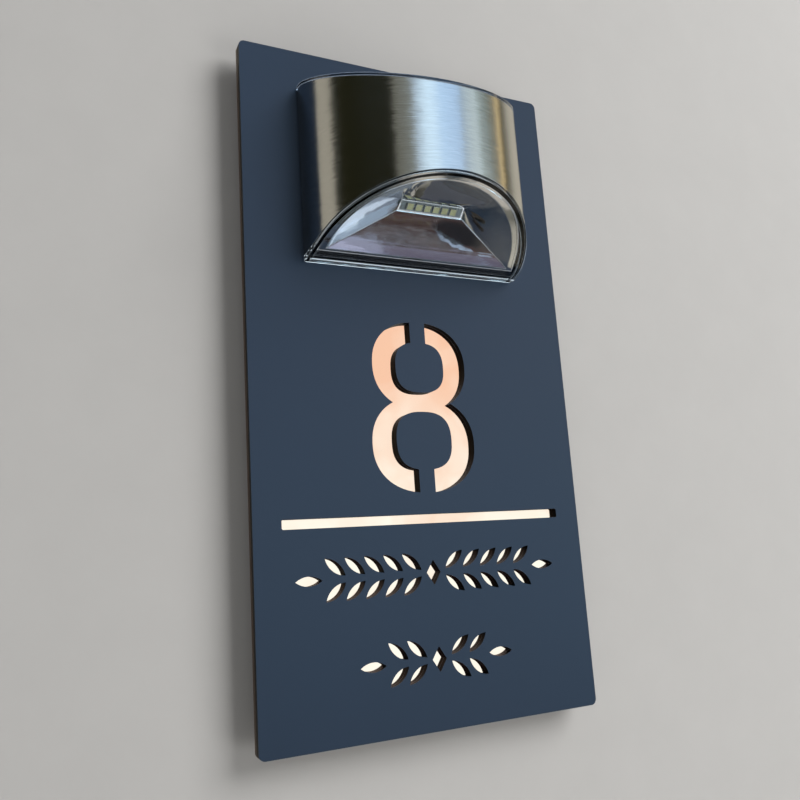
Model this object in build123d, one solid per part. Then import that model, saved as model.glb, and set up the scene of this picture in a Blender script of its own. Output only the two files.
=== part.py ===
from build123d import *
import math
import os

# Illuminated house number sign: a stencilled face plate on a rose-gold mirror sheet,
# standing off the wall on four spacers, with a half-round solar lamp hung on two screws.
# Millimetres. +X to the right of the sign, +Y into the wall, +Z up. The origin is the
# middle of the wall stud pattern, on the wall's surface.

# ---------------------------------------------------------------- driving dimensions

# sign plates
plate_w = 178.0
plate_h = 340.0
plate_corner = 3.0
face_t = 3.0
mirror_t = 3.0

# general clearances
hairline = 0.05                   # between metal parts that all but touch
thread_play = 0.3                 # hole over its screw
over = 1.0                        # how far a cut runs past a face

# wall fixing
pad_t = 1.0
spacer_t = 8.0
spacer_d = 20.0
stud_hole_d = 4.2
stud_inset = 22.0                 # stud centre to the plate's edge

# numeral, as distances down from the plate's top edge
upper_loop = (52.6, 46.0, 164.4)  # width, height, centre
lower_loop = (57.0, 48.4, 204.5)
upper_eye = (27.2, 26.0, 165.2)
lower_eye = (30.8, 29.2, 202.7)
loop_power = 2.25                 # 2 is an ellipse, more is squarer
eye_power = 2.65
bridge_w = 8.6                    # stencil ties at the top and the bottom of the numeral
loop_points = 32

# rule under the numeral
rule_w = 151.0
rule_h = 4.6
rule_down = 241.4
rule_corner = 0.8

# leaf borders under the rule
leaf_l = 13.0
leaf_w = 4.5
leaf_tilt = 40.0
leaf_pitch = 9.8
leaf_first = 6.6                  # first pair from the middle
stem_gap = 1.5                    # leaf's foot to the stem line
lozenge_w = 7.6
lozenge_h = 12.0
border_downs = (267.3, 307.8)
border_pair_counts = (5, 2)       # leaf pairs on each side of the lozenge

# lamp outline, seen from above
lamp_half_w = 59.5
lamp_skirt = 2.5                  # straight part of the sides
lamp_bow = 55.0                   # the bow's reach past the straight part
lamp_gap = 0.3                    # lamp's back to the face plate

# lamp profile, seen from the side
lamp_top_down = 20.5              # top edge at the plate
lamp_top_bend = 28.0
lamp_top_angle = 19.5
lamp_h = 91.9                     # top edge to the steel's lower edge, at the plate
lamp_base_bend = 34.5
lamp_base_angle = 29.5

# places on the lamp's back, down from its top edge
boss_top = 14.5                   # upper bosses
boss_base = 13.4                  # lower bosses, up from the base
battery_drop = 24.5
hang_drop = 31.5
board_drop = 39.5
switch_drop = 63.5

# lamp shells
steel_t = 0.6
shell_gap = 0.1
shell_t = 1.8
cover_t = 1.6
cover_lip = 0.2
lens_t = 2.2
lens_lip = 0.5
lens_corner = 2.0
lens_rim = 3.0                    # raised rim round the lens plate's underside
lens_step = 0.4

# back of the lamp
back_t = 2.0
back_gap = 0.2
back_play = 0.3                   # above and below the back plate
seal_t = 1.0
seal_w = 2.6
ledge_t = 2.0
boss_d = 6.0
boss_l = 7.0
boss_web = 2.4
boss_floor = 1.0
boss_inset = 4.7                  # boss centre to the shell's inner side
back_screw_d = 2.5
back_head_d = 4.6
back_head_t = 1.1
back_screw_l = 7.0
back_drive_l = 2.6
back_drive_w = 0.6

# hanging screws and their keyholes
hang_x = 27.0
hang_lift = 8.0                   # lift that frees the heads
thread_d = 4.0
shoulder_d = 5.0
hang_head_d = 8.5
hang_head_t = 2.4
hang_head_round = 0.9
drive_l = 5.0
drive_w = 1.0
drive_depth = 1.1
head_play = 0.3                   # clearance round shoulder, head and back plate
pocket_air = 0.7                  # head to the pocket's floor
pocket_wall = 1.2
washer_d = 9.0
washer_t = 0.8
nut_af = 7.0
nut_t = 3.2
thread_tail = 1.0
post_root = 0.5                   # how far posts and boxes reach into the back plate
pilot_floor = 1.0
tip_air = 0.5

# solar panel under the cover
gasket_w = 3.6
cell_t = 0.25
cell_count = 6
cell_space = 1.0
panel_t = 1.15
panel_inset = 7.0
panel_rear = 13.0
layer_gap = 0.1
tray_t = 1.6
tray_rear = 3.4
lead_slot = (10.0, 4.0)
lead_out = 14.5                   # panel leads' place in front of the plate
ledge_gap = 2.4                   # shell's rear ledges below the tray's rib
rib_end = 2.0                     # end of the tray's rib to the ledges
rib_sink = 0.2

# reflector and light strip
rim_inset = 7.3
rim_rear = 9.2                    # rim's straight edge from the face plate
rim_split_x = 25.0                # where the front ridges meet the rim
rim_lift = 1.45                   # rim above the lens plate, measured upright
lip_w = 3.7
lip_rear_w = 1.2                  # lip along the straight back edge
lip_t = 1.0
mirror_wall = 1.2
strip_out = 24.5                  # middle of the light window from the face plate
strip_rise = 12.0                 # window above the rim's plane, measured upright
strip_tilt = 38.0
window_w = 34.4
window_h = 5.1
strip_w = 40.0
strip_h = 8.0
strip_t = 1.0
led_count = 6
led_pitch = 4.8
led_w = 3.8
led_h = 3.8
led_t = 0.9
phosphor_w = 3.2
phosphor_h = 3.2
phosphor_t = 0.5
phosphor_dip = 0.1

# control board
board_w = 34.0
board_h = 26.0
board_t = 1.2
board_post = 3.0
board_post_d = 4.0
board_hole_inset = 3.0
board_screw_d = 1.8
board_head_d = 3.4
board_head_t = 1.1
board_bite = 1.8                  # screw's grip in its post
chip_blocks = ((-2.0, 1.0, 5.0, 1.6, 4.0), (3.5, 6.0, 2.9, 1.1, 1.6), (-4.0, 7.0, 2.9, 1.1, 1.6))
chip_cans = ((8.0, -2.0, 4.4, 2.6), (-9.5, -1.0, 4.0, 2.8))

# battery
cell_d = 14.2
cell_l = 49.5
nub_d = 5.0
nub_l = 1.0
can_round = 0.6
holder_out = 10.9                 # holder's floor from the face plate
holder_h = 18.0
holder_wall = 1.5
holder_depth = 11.0
battery_play = 0.3
spring_room = 4.3
strip_metal = 0.4
contact_w = 8.0
contact_tail = 6.0
leg_lift = 1.0                    # contact's inner leg above the holder's floor
spring_h = 8.0
holder_screw_x = 24.0
holder_screw_rise = 5.4
holder_post_d = 5.0
holder_screw_d = 2.2
holder_head_d = 3.6
holder_head_t = 1.0

# on-off switch in the lamp's back
switch_w = 8.6
switch_h = 4.4
switch_t = 3.5
switch_travel = 2.5
knob_w = 1.8
knob_h = 1.9
knob_play = 0.25
knob_seat = 1.0
knob_recess = 0.4                 # knob's tip below the lamp's back

# inner leads
lead_d = 1.2
lead_bend = 1.8
lead_straight = 3.5               # straight run at a lead's start
panel_lead_x = 1.4
panel_lead_start = 0.3            # below the panel
panel_lead_slant = 3.0
panel_lane = 2.2                  # lane behind the holder's floor
panel_pad = 8.0                   # pads' distance from the board's middle
battery_lane = 1.6
battery_lead_drop = 12.0
battery_lead_tuck = 2.0
battery_pad = 4.0
battery_pad_inset = 2.5
led_lead_x = 6.0
led_lead_out = 4.5
led_lead_rise = 7.0
led_pad = 10.0

# ---------------------------------------------------------------- worked out from them

plate_top = plate_h / 2
wall_to_mirror = pad_t + spacer_t
wall_to_face = wall_to_mirror + mirror_t
face_y = -(wall_to_face + face_t)             # front of the face plate
lamp_back = face_y - lamp_gap
stud_x = plate_w / 2 - stud_inset
stud_z = plate_h / 2 - stud_inset
lamp_base_down = lamp_top_down + lamp_h
battery_down = lamp_top_down + battery_drop
hang_down = lamp_top_down + hang_drop
board_down = lamp_top_down + board_drop
switch_down = lamp_top_down + switch_drop
shell_outer = steel_t + shell_gap
shell_inner = shell_outer + shell_t
back_inset = shell_inner + back_gap
boss_x = lamp_half_w - shell_inner - boss_inset
boss_downs = (lamp_top_down + boss_top, lamp_base_down - boss_base)
tray_drop = cover_t + layer_gap + cell_t + panel_t
rib_top = lamp_top_down + tray_drop + tray_t - rib_sink
ledge_top = rib_top + seal_w + ledge_gap
seal_front = lamp_gap + back_t + seal_t       # how far the seal stands off the face plate
battery_out = holder_out + holder_wall + battery_play + cell_d / 2
screw_hole_d = thread_d + thread_play
far = 400.0                                   # longer than anything here
lamp_low = -20.0                              # level below the whole lamp


def at(x, out, down):
    """A point given as right of the middle, out from the face plate, down from the top."""
    return Vector(x, face_y - out, plate_top - down)


def slab(shape, start_y, thickness):
    """A front-view sketch made into a sheet that starts at start_y and grows outwards."""
    return extrude(Plane.XZ.offset(-start_y) * shape, amount=thickness)


def peg(x, out, down, diameter, length):
    """A round bar that starts at a point and runs straight out from the wall."""
    return slab(Pos(x, plate_top - down) * Circle(diameter / 2), face_y - out, length)


def brick(x, out, down, width, depth, height):
    """A block centred on x and down, with its wall side at out."""
    return slab(Pos(x, plate_top - down) * Rectangle(width, height), face_y - out, depth)


def group(solids):
    return Compound(children=list(solids))


# ---------------------------------------------------------------- sign plates

def oval(width, height, power):
    """A rounded outline between an ellipse and a rectangle."""
    points = []
    for i in range(loop_points):
        turn = 2 * math.pi * i / loop_points
        c, s = math.cos(turn), math.sin(turn)
        x = math.copysign(abs(c) ** (2 / power), c) * width / 2
        y = math.copysign(abs(s) ** (2 / power), s) * height / 2
        points.append((x, y))
    return make_face(Spline(*points, periodic=True))


def placed_oval(loop, power):
    width, height, down = loop
    return Pos(0, plate_top - down) * oval(width, height, power)


def numeral():
    """The house number: an eight whose two eyes are tied to the plate by short bridges."""
    solid_part = placed_oval(upper_loop, loop_power) + placed_oval(lower_loop, loop_power)
    open_part = solid_part - placed_oval(upper_eye, eye_power) - placed_oval(lower_eye, eye_power)
    upper_tie = Pos(0, plate_top - upper_loop[2] + upper_loop[1] / 2) * Rectangle(bridge_w, upper_eye[1])
    lower_tie = Pos(0, plate_top - lower_loop[2] - lower_loop[1] / 2) * Rectangle(bridge_w, lower_eye[1])
    return open_part - upper_tie - lower_tie


def leaf():
    """A pointed leaf from the origin along +X, between two arcs."""
    upper = ThreePointArc((0, 0), (leaf_l / 2, leaf_w / 2), (leaf_l, 0))
    lower = ThreePointArc((leaf_l, 0), (leaf_l / 2, -leaf_w / 2), (0, 0))
    return make_face([upper, lower])


def lozenge():
    x, z = lozenge_w / 2, lozenge_h / 2
    return make_face(Polyline((x, 0), (0, z), (-x, 0), (0, -z), close=True))


def border(down, pairs):
    """A laurel border: leaf pairs that lean away from a lozenge, and a leaf at each end."""
    cuts = [lozenge()]
    for side in (0, 180):
        for i in range(pairs):
            foot = leaf_first + i * leaf_pitch
            for lean in (1, -1):
                tilt = Rot(0, 0, lean * leaf_tilt)
                cuts.append(Rot(0, 0, side) * Pos(foot, lean * stem_gap) * tilt * leaf())
        cuts.append(Rot(0, 0, side) * Pos(leaf_first + pairs * leaf_pitch + stem_gap, 0) * leaf())
    return [Pos(0, plate_top - down) * cut for cut in cuts]


def plate_blank():
    blank = RectangleRounded(plate_w, plate_h, plate_corner)
    for x in (-hang_x, hang_x):
        blank -= Pos(x, plate_top - hang_down) * Circle(screw_hole_d / 2)
    return blank


def face_plate():
    rule = Pos(0, plate_top - rule_down) * RectangleRounded(rule_w, rule_h, rule_corner)
    sheet = plate_blank() - numeral() - rule
    for down, pairs in zip(border_downs, border_pair_counts):
        for cut in border(down, pairs):
            sheet -= cut
    return slab(sheet, -wall_to_face, face_t)


def mirror_backing():
    return slab(plate_blank(), -wall_to_mirror, mirror_t)


def stud_discs(start_y, thickness):
    disc = Circle(spacer_d / 2) - Circle(stud_hole_d / 2)
    return group(
        slab(Pos(x, z) * disc, start_y, thickness)
        for x in (-stud_x, stud_x) for z in (-stud_z, stud_z)
    )


def rear_spacers():
    return stud_discs(-pad_t, spacer_t)


def adhesive_pads():
    return stud_discs(0, pad_t)


# ---------------------------------------------------------------- hanging screws

nut_out = -(face_t + mirror_t + washer_t + nut_t)       # far face of the nut
head_out = lamp_gap + back_t + head_play                # underside of the head


def hanger_screws():
    screws = []
    for x in (-hang_x, hang_x):
        tail = nut_out - thread_tail
        screw = peg(x, tail, hang_down, thread_d, -tail)
        screw += peg(x, 0, hang_down, shoulder_d, head_out)
        head = peg(x, head_out, hang_down, hang_head_d, hang_head_t)
        head = fillet(head.edges().sort_by(Axis.Y)[0], hang_head_round)
        drive = head_out + hang_head_t - drive_depth
        slot = brick(x, drive, hang_down, drive_w, drive_depth + over, drive_l)
        cross = brick(x, drive, hang_down, drive_l, drive_depth + over, drive_w)
        screws.append(screw + head - slot - cross)
    return group(screws)


def hanger_washers():
    ring = Circle(washer_d / 2) - Circle(screw_hole_d / 2)
    return group(
        slab(Pos(x, plate_top - hang_down) * ring, -wall_to_mirror + washer_t, washer_t)
        for x in (-hang_x, hang_x)
    )


def hanger_nuts():
    ring = RegularPolygon(nut_af / 2, 6, major_radius=False) - Circle(thread_d / 2 + hairline)
    return group(
        slab(Pos(x, plate_top - hang_down) * ring, face_y - nut_out, nut_t)
        for x in (-hang_x, hang_x)
    )


# ---------------------------------------------------------------- lamp outline and profile

def plan(inset, rear=lamp_gap):
    """The lamp seen from above: a straight back, short straight sides and a bow."""
    half, bow = lamp_half_w - inset, lamp_bow - inset
    back_y, side_y = face_y - rear, face_y - lamp_skirt
    if rear < lamp_skirt:
        sides = [Line((half, side_y), (half, back_y)), Line((half, back_y), (-half, back_y)),
                 Line((-half, back_y), (-half, side_y))]
        return make_face([EllipticalCenterArc((0, side_y), half, bow, 180, arc_size=180)] + sides)
    turn = math.degrees(math.asin((rear - lamp_skirt) / bow))
    arc = EllipticalCenterArc((0, side_y), half, bow, 180 + turn, arc_size=180 - 2 * turn)
    return make_face([arc, Line(arc @ 1, arc @ 0)])


def column(inset, rear=lamp_gap):
    return extrude(Pos(0, 0, lamp_low) * plan(inset, rear), amount=far)


def shift(out, bend, slope):
    """How far a profile has left its level start, at a distance from the face plate."""
    reach = bend * math.sin(math.radians(slope))
    if out <= reach:
        return bend - math.sqrt(bend ** 2 - out ** 2)
    return bend * (1 - math.cos(math.radians(slope))) + (out - reach) * math.tan(math.radians(slope))


def profile(start_z, bend, slope):
    """Side view of an edge: level at the wall, bent on an arc, then a straight slope."""
    start = (face_y, start_z)
    lead_in = Line((face_y + far / 10, start_z), start)
    arc = JernArc(start, (-1, 0), bend, -slope)
    run = Line(arc @ 1, arc @ 1 + (arc % 1) * far / 4)
    return [lead_in, arc, run]


def top_edge(drop):
    return profile(plate_top - lamp_top_down - drop, lamp_top_bend, -lamp_top_angle)


def base_edge(rise):
    return profile(plate_top - lamp_base_down + rise, lamp_base_bend, lamp_base_angle)


def between(upper, lower):
    """The space between two profiles, right across the lamp."""
    closing = [Line(upper[-1] @ 1, lower[-1] @ 1), Line(lower[0] @ 0, upper[0] @ 0)]
    return extrude(Plane.YZ * make_face(upper + lower + closing), amount=lamp_half_w + over, both=True)


def top_layer(inset, rear, drop, thickness):
    return column(inset, rear) & between(top_edge(drop), top_edge(drop + thickness))


def steel_band():
    wall = column(0) - column(steel_t, -lamp_half_w)
    return wall & between(top_edge(cover_t), base_edge(0))


def boss_points():
    return [(x, down) for x in (-boss_x, boss_x) for down in boss_downs]


def lens_housing():
    """Clear shell: side wall, slanted lens plate with lip and rim, rear ledges and screw bosses."""
    wall = column(shell_outer) - column(shell_inner, -lamp_half_w)
    wall &= between(top_edge(cover_t), base_edge(0))
    lens = extrude(Pos(0, 0, lamp_low) * lens_plan(), amount=far)
    lens &= between(base_edge(0), base_edge(-lens_t))
    hollow = column(lens_rim - lens_lip, lens_rim + lamp_gap)
    lens -= hollow & between(base_edge(lens_step - lens_t), base_edge(-lens_t - over))
    ledge_h = lamp_base_down - ledge_top
    inside = lamp_half_w - shell_inner
    shell = wall + lens
    for side in (-1, 1):
        post = brick(side * (inside - seal_w / 2), seal_front, lamp_base_down - ledge_h / 2,
                     seal_w + shell_t, ledge_t, ledge_h)
        shell += post & column(shell_outer + shell_t / 2) & between(top_edge(cover_t), base_edge(-lens_t / 2))
    sill = brick(0, seal_front, lamp_base_down - seal_w / 2 + lens_t / 4,
                 2 * inside, ledge_t, seal_w + lens_t / 2)
    shell += sill & column(shell_outer) & between(top_edge(cover_t), base_edge(-lens_t / 2))
    for x, down in boss_points():
        boss = peg(x, seal_front, down, boss_d, boss_l)
        web = brick((x + math.copysign(inside, x)) / 2, seal_front, down,
                    abs(inside - abs(x)) + shell_t, boss_l, boss_web)
        shell += (boss + web) & column(shell_outer + shell_t / 2)
    for x, down in boss_points():
        shell -= peg(x, seal_front, down, back_screw_d, boss_l - boss_floor)
    return shell


def lens_plan():
    """The lens plate's outline, a little wider than the band, with eased back corners."""
    outline = plan(-lens_lip)
    corners = outline.vertices().sort_by(Axis.Y)[-2:]
    return fillet(corners, lens_corner)


def top_cover():
    return top_layer(-cover_lip, lamp_gap, 0, cover_t)


def panel_gasket():
    outer = top_layer(back_inset, tray_rear, cover_t, cell_t + panel_t + layer_gap)
    hole = column(back_inset + gasket_w, tray_rear + gasket_w)
    return outer - hole


def solar_cells():
    """Cell strips side by side, each cut to the panel's outline."""
    sheet = top_layer(panel_inset + cell_space, panel_rear + cell_space, cover_t + layer_gap, cell_t)
    width = (2 * (lamp_half_w - panel_inset - cell_space) + cell_space) / cell_count
    strips = []
    for i in range(cell_count):
        middle = (i - (cell_count - 1) / 2) * width
        strips.append(sheet & (Pos(middle, 0, 0) * Box(width - cell_space, far, far)))
    return group(strips)


def solar_panel():
    return top_layer(panel_inset, panel_rear, cover_t + layer_gap + cell_t, panel_t)


def panel_tray():
    tray = top_layer(back_inset, tray_rear, tray_drop, tray_t)
    rib = brick(0, tray_rear, rib_top + seal_w / 2,
                2 * (lamp_half_w - back_inset - seal_w - rib_end), ledge_t, seal_w)
    slot = Pos(0, face_y - lead_out, 0) * Box(lead_slot[0], lead_slot[1], far)
    return tray + rib - slot


# ---------------------------------------------------------------- back of the lamp

back_top = lamp_top_down + cover_t + back_play
back_low = lamp_base_down - back_play
back_half = lamp_half_w - back_inset


def back_outline(margin):
    height = back_low - back_top - 2 * margin
    middle = plate_top - (back_low + back_top) / 2
    return Pos(0, middle) * Rectangle(2 * (back_half - margin), height)


def keyhole(x):
    """Entry hole below, narrow slot above, so that the lamp drops onto the shoulders."""
    slot_w = shoulder_d + 2 * head_play
    depth = over + inner_face
    entry = peg(x, -over, hang_down + hang_lift, hang_head_d + 3 * head_play, depth)
    slot = brick(x, -over, hang_down + hang_lift / 2, slot_w, depth, hang_lift)
    return entry + slot + peg(x, -over, hang_down, slot_w, depth)


def pocket(x):
    """Closed box behind a keyhole, that keeps rain out; returns the box and its hollow."""
    depth = head_play + hang_head_t + pocket_air
    width = hang_head_d + 6 * head_play
    height = hang_lift + width
    middle = hang_down + hang_lift / 2
    box = brick(x, lamp_gap + back_t / 2, middle, width + 2 * pocket_wall,
                back_t / 2 + depth + pocket_wall, height + 2 * pocket_wall)
    return box, brick(x, lamp_gap + back_t, middle, width, depth, height)


def board_points():
    x, z = board_w / 2 - board_hole_inset, board_h / 2 - board_hole_inset
    return [(sx * x, board_down + sz * z) for sx in (-1, 1) for sz in (-1, 1)]


def holder_points():
    return [(x, battery_down - holder_screw_rise) for x in (-holder_screw_x, holder_screw_x)]


inner_face = lamp_gap + back_t
back_head = lamp_gap + 2 * hairline + back_head_t      # depth of a screw head's seat


def back_plate():
    plate = slab(back_outline(0), lamp_back, back_t)
    hollows = []
    for x in (-hang_x, hang_x):
        box, hollow = pocket(x)
        plate += box
        hollows.append(hollow)
    for x, down in board_points():
        plate += peg(x, inner_face - post_root, down, board_post_d, board_post + post_root)
    for x, down in holder_points():
        post = inner_face - post_root
        plate += peg(x, post, down, holder_post_d, holder_out - post)
    for hollow in hollows:
        plate -= hollow
    for x in (-hang_x, hang_x):
        plate -= keyhole(x)
    for x, down in boss_points():
        plate -= peg(x, -over, down, back_head_d + thread_play, over + back_head)
        plate -= peg(x, -over, down, back_screw_d + thread_play, 2 * over + inner_face)
    for x, down in board_points():
        plate -= peg(x, inner_face, down, board_screw_d, board_post + over)
    for x, down in holder_points():
        plate -= peg(x, inner_face + pilot_floor, down, holder_screw_d, holder_out)
    window = (switch_travel + knob_w + 4 * knob_play, knob_h + 4 * knob_play)
    plate -= brick(0, -over, switch_down, window[0], inner_face + 2 * over, window[1])
    return plate


def back_seal():
    return slab(back_outline(0) - back_outline(seal_w), face_y - inner_face, seal_t)


def back_screws():
    screws = []
    for x, down in boss_points():
        head_start = lamp_gap + hairline
        screw = peg(x, head_start, down, back_head_d, back_head_t)
        screw += peg(x, head_start, down, back_screw_d, back_screw_l)
        screw -= brick(x, head_start, down, back_drive_l, back_drive_w, back_drive_w)
        screw -= brick(x, head_start, down, back_drive_w, back_drive_w, back_drive_l)
        screws.append(screw)
    return group(screws)


# ---------------------------------------------------------------- reflector and light strip

def tilted(out, down, tilt):
    """A plane across the lamp that rises outwards by tilt and faces up and back."""
    lean = math.radians(tilt)
    return Plane(origin=at(0, out, down), x_dir=(1, 0, 0), z_dir=(0, math.sin(lean), math.cos(lean)))


rim_down = lamp_base_down - shift(rim_rear, lamp_base_bend, lamp_base_angle) - rim_lift
rim_plane = tilted(rim_rear, rim_down, lamp_base_angle)
rim_climb = (strip_out - rim_rear) * math.tan(math.radians(lamp_base_angle))
strip_down = rim_down - rim_climb - strip_rise
strip_plane = tilted(strip_out, strip_down, strip_tilt)


def rim_wire(grow):
    """The reflector's mouth in the rim plane, in four edges: back, right, front, left."""
    half, bow = lamp_half_w - rim_inset + grow, lamp_bow - rim_inset + grow
    stretch = 1 / math.cos(math.radians(lamp_base_angle))
    rear = rim_rear - grow
    middle = (0, (rim_rear - lamp_skirt) * stretch)
    start = math.degrees(math.asin((rear - lamp_skirt) / bow))
    split = math.degrees(math.acos((rim_split_x + grow / 2) / half))
    turns = [-start, -split, -(180 - split), -(180 - start)]
    arcs = [
        EllipticalCenterArc(middle, half, bow * stretch, a, arc_size=b - a)
        for a, b in zip(turns, turns[1:])
    ]
    back = Line(arcs[2] @ 1, arcs[0] @ 0)
    return rim_plane * Wire([back] + arcs)


def window_wire(grow):
    x, y = window_w / 2 + grow, window_h / 2 + grow
    corners = [(-x, y), (x, y), (x, -y), (-x, -y)]
    return strip_plane * Wire(Polyline(*corners, close=True).edges())


def funnel(grow):
    """A flared box from the light window to the mouth, with four ruled sides."""
    return Solid.make_loft([window_wire(grow), rim_wire(grow)], ruled=True)


def reflector():
    """Bright funnel with a flat lip round its mouth, that lies along the lens plate."""
    lip = column(rim_inset - lip_w, rim_rear - lip_rear_w)
    lip &= extrude(rim_plane * Rectangle(far, far), amount=lip_t)
    return lip + funnel(mirror_wall) - funnel(0)


def led_row(width, height, low, high):
    """Blocks along the light strip, between two levels under its board."""
    blocks = []
    for i in range(led_count):
        x = (i - (led_count - 1) / 2) * led_pitch
        block = strip_plane * (Pos(x, 0, low) * Rectangle(width, height))
        blocks.append(extrude(block, amount=high - low))
    return blocks


def led_board():
    return extrude(strip_plane * Rectangle(strip_w, strip_h), amount=strip_t)


def led_packages():
    wells = led_row(phosphor_w, phosphor_h, -led_t - over, -led_t + phosphor_t)
    return group(block - well for block, well in zip(led_row(led_w, led_h, -led_t, 0), wells))


def led_phosphors():
    return group(led_row(phosphor_w, phosphor_h, -led_t + phosphor_dip, -led_t + phosphor_t))


# ---------------------------------------------------------------- control board

board_out = inner_face + board_post
board_face = board_out + board_t


def control_board():
    board = brick(0, board_out, board_down, board_w, board_t, board_h)
    for x, down in board_points():
        board -= peg(x, board_out - over, down, board_screw_d + thread_play, board_t + 2 * over)
    return board


def board_chips():
    """Charger chip and two transistors, then an inductor and a capacitor."""
    blocks = [brick(x, board_face, board_down + z, w, t, h) for x, z, w, t, h in chip_blocks]
    cans = [peg(x, board_face, board_down + z, d, t) for x, z, d, t in chip_cans]
    return group(blocks + cans)


def board_screws():
    return group(
        peg(x, board_out - board_bite, down, board_screw_d - 2 * hairline, board_t + board_bite)
        + peg(x, board_face, down, board_head_d, board_head_t)
        for x, down in board_points()
    )


# ---------------------------------------------------------------- battery

hold_in = (nub_l + cell_l + spring_room + 2 * strip_metal + 2 * battery_play) / 2
holder_half = hold_in + holder_wall
nub_tip = hold_in - strip_metal - battery_play
cell_right = nub_tip - nub_l
cell_left = cell_right - cell_l
holder_floor = holder_out + holder_wall


def battery_holder():
    """Open box whose end walls carry the contacts."""
    box = brick(0, holder_out, battery_down, 2 * holder_half, holder_depth, holder_h)
    box -= brick(0, holder_floor, battery_down, 2 * hold_in, holder_depth, holder_h - 2 * holder_wall)
    for x, down in holder_points():
        box -= peg(x, holder_out - over, down, holder_screw_d + thread_play, holder_wall + 2 * over)
    return box


def holder_screws():
    tip = inner_face + pilot_floor + tip_air
    return group(
        peg(x, tip, down, holder_screw_d - 2 * hairline, holder_floor - tip)
        + peg(x, holder_floor, down, holder_head_d, holder_head_t)
        for x, down in holder_points()
    )


def battery_cell():
    down = plate_top - battery_down
    turn = Plane(origin=(cell_left, face_y - battery_out, down), x_dir=(0, 1, 0), z_dir=(1, 0, 0))
    can = extrude(turn * Circle(cell_d / 2), amount=cell_l)
    can = fillet(can.edges(), can_round)
    return can + extrude(turn * Circle(nub_d / 2), amount=cell_l + nub_l)


def contact(side):
    """Metal strip hooked over an end wall: inside leg, top and a tail for the lead."""
    lip_out = holder_out + holder_depth
    leg_start = holder_floor + leg_lift
    hook = hairline + strip_metal
    inner_x = hold_in - strip_metal / 2 - hairline
    outer_x = holder_half + strip_metal / 2 + hairline
    leg = brick(side * inner_x, leg_start, battery_down,
                strip_metal, lip_out - leg_start + hook, contact_w)
    top = brick(side * (inner_x + outer_x) / 2, lip_out + hairline, battery_down,
                outer_x - inner_x + strip_metal, strip_metal, contact_w)
    tail = brick(side * outer_x, lip_out - contact_tail, battery_down,
                 strip_metal, contact_tail + hook, contact_w)
    return leg + top + tail


def positive_contact():
    return contact(1)


def negative_contact():
    """The same hook, with a bowed leaf that pushes the cell to the other end."""
    face_x = -(hold_in - strip_metal)
    reach = spring_room - battery_play
    low, high = face_y - battery_out - spring_h / 2, face_y - battery_out + spring_h / 2
    middle = (low + high) / 2
    outer = ThreePointArc((face_x, low), (face_x + reach, middle), (face_x, high))
    inner = ThreePointArc((face_x, high - strip_metal), (face_x + reach - strip_metal, middle),
                          (face_x, low + strip_metal))
    ends = [Line(outer @ 1, inner @ 0), Line(inner @ 1, outer @ 0)]
    bow = extrude(Pos(0, 0, plate_top - battery_down) * make_face([outer, inner] + ends),
                  amount=contact_w / 2, both=True)
    root = brick(face_x, battery_out - spring_h / 2, battery_down, strip_metal, spring_h, contact_w)
    return contact(-1) + (bow + root & Pos(face_x, 0, 0) * Box(far, far, far))


# ---------------------------------------------------------------- switch

def switch_body():
    body = brick(0, inner_face, switch_down, switch_w, switch_t, switch_h)
    well = brick(0, inner_face - over, switch_down, switch_travel + knob_w + 2 * knob_play,
                 knob_seat + over + knob_play, knob_h + 2 * knob_play)
    return body - well


def switch_slider():
    tip = lamp_gap + knob_recess
    return brick(-switch_travel / 2, tip, switch_down, knob_w, inner_face + knob_seat - tip, knob_h)


# ---------------------------------------------------------------- inner leads

def lead(points):
    """A round lead along straight runs joined by tangent arcs."""
    path = FilletPolyline(*[at(*p) for p in points], radius=lead_bend)
    start = Plane(origin=path @ 0, z_dir=path % 0)
    return sweep(start * Circle(lead_d / 2), path=path)


pad_out = board_face + hairline                         # where a lead meets the board


def panel_leads():
    """Two leads from the panel, behind the battery holder, to the board's upper edge."""
    panel = lamp_top_down + shift(lead_out, lamp_top_bend, lamp_top_angle) + tray_drop
    start = panel + panel_lead_start
    turn = start + lead_straight
    lane, pad = holder_out - panel_lane, board_down - panel_pad
    return group(
        lead([(x, lead_out, start), (x, lead_out, turn), (x, lane, turn + panel_lead_slant),
              (x, lane, pad), (x, pad_out, pad)])
        for x in (-panel_lead_x, panel_lead_x)
    )


def battery_leads():
    """A lead from each contact's tail, round the holder's end, to the board's side edge."""
    tail_x = holder_half + strip_metal + 2 * hairline
    tail_out = holder_out + holder_depth - contact_tail / 2
    arm_x = tail_x + lead_straight
    lane, pad = holder_out - battery_lane, board_down + battery_pad
    pad_x = board_w / 2 - battery_pad_inset
    leads = []
    for side in (-1, 1):
        leads.append(lead([
            (side * tail_x, tail_out, battery_down),
            (side * arm_x, tail_out, battery_down),
            (side * arm_x, tail_out, battery_down + battery_lead_drop),
            (side * (tail_x - battery_lead_tuck), lane, pad),
            (side * pad_x, lane, pad),
            (side * pad_x, pad_out, pad),
        ]))
    return group(leads)


def led_leads():
    """Two leads that meet the light strip's back square on."""
    foot = strip_plane.from_local_coords((0, 0, strip_t + hairline))
    above = strip_plane.from_local_coords((0, 0, strip_t + led_lead_rise))
    pad = board_down + led_pad
    return group(
        lead([
            (x, pad_out, pad),
            (x, board_face + led_lead_out, pad),
            (x, face_y - above.Y, plate_top - above.Z),
            (x, face_y - foot.Y, plate_top - foot.Z),
        ])
        for x in (-led_lead_x, led_lead_x)
    )


# ---------------------------------------------------------------- write one file for each piece

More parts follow.
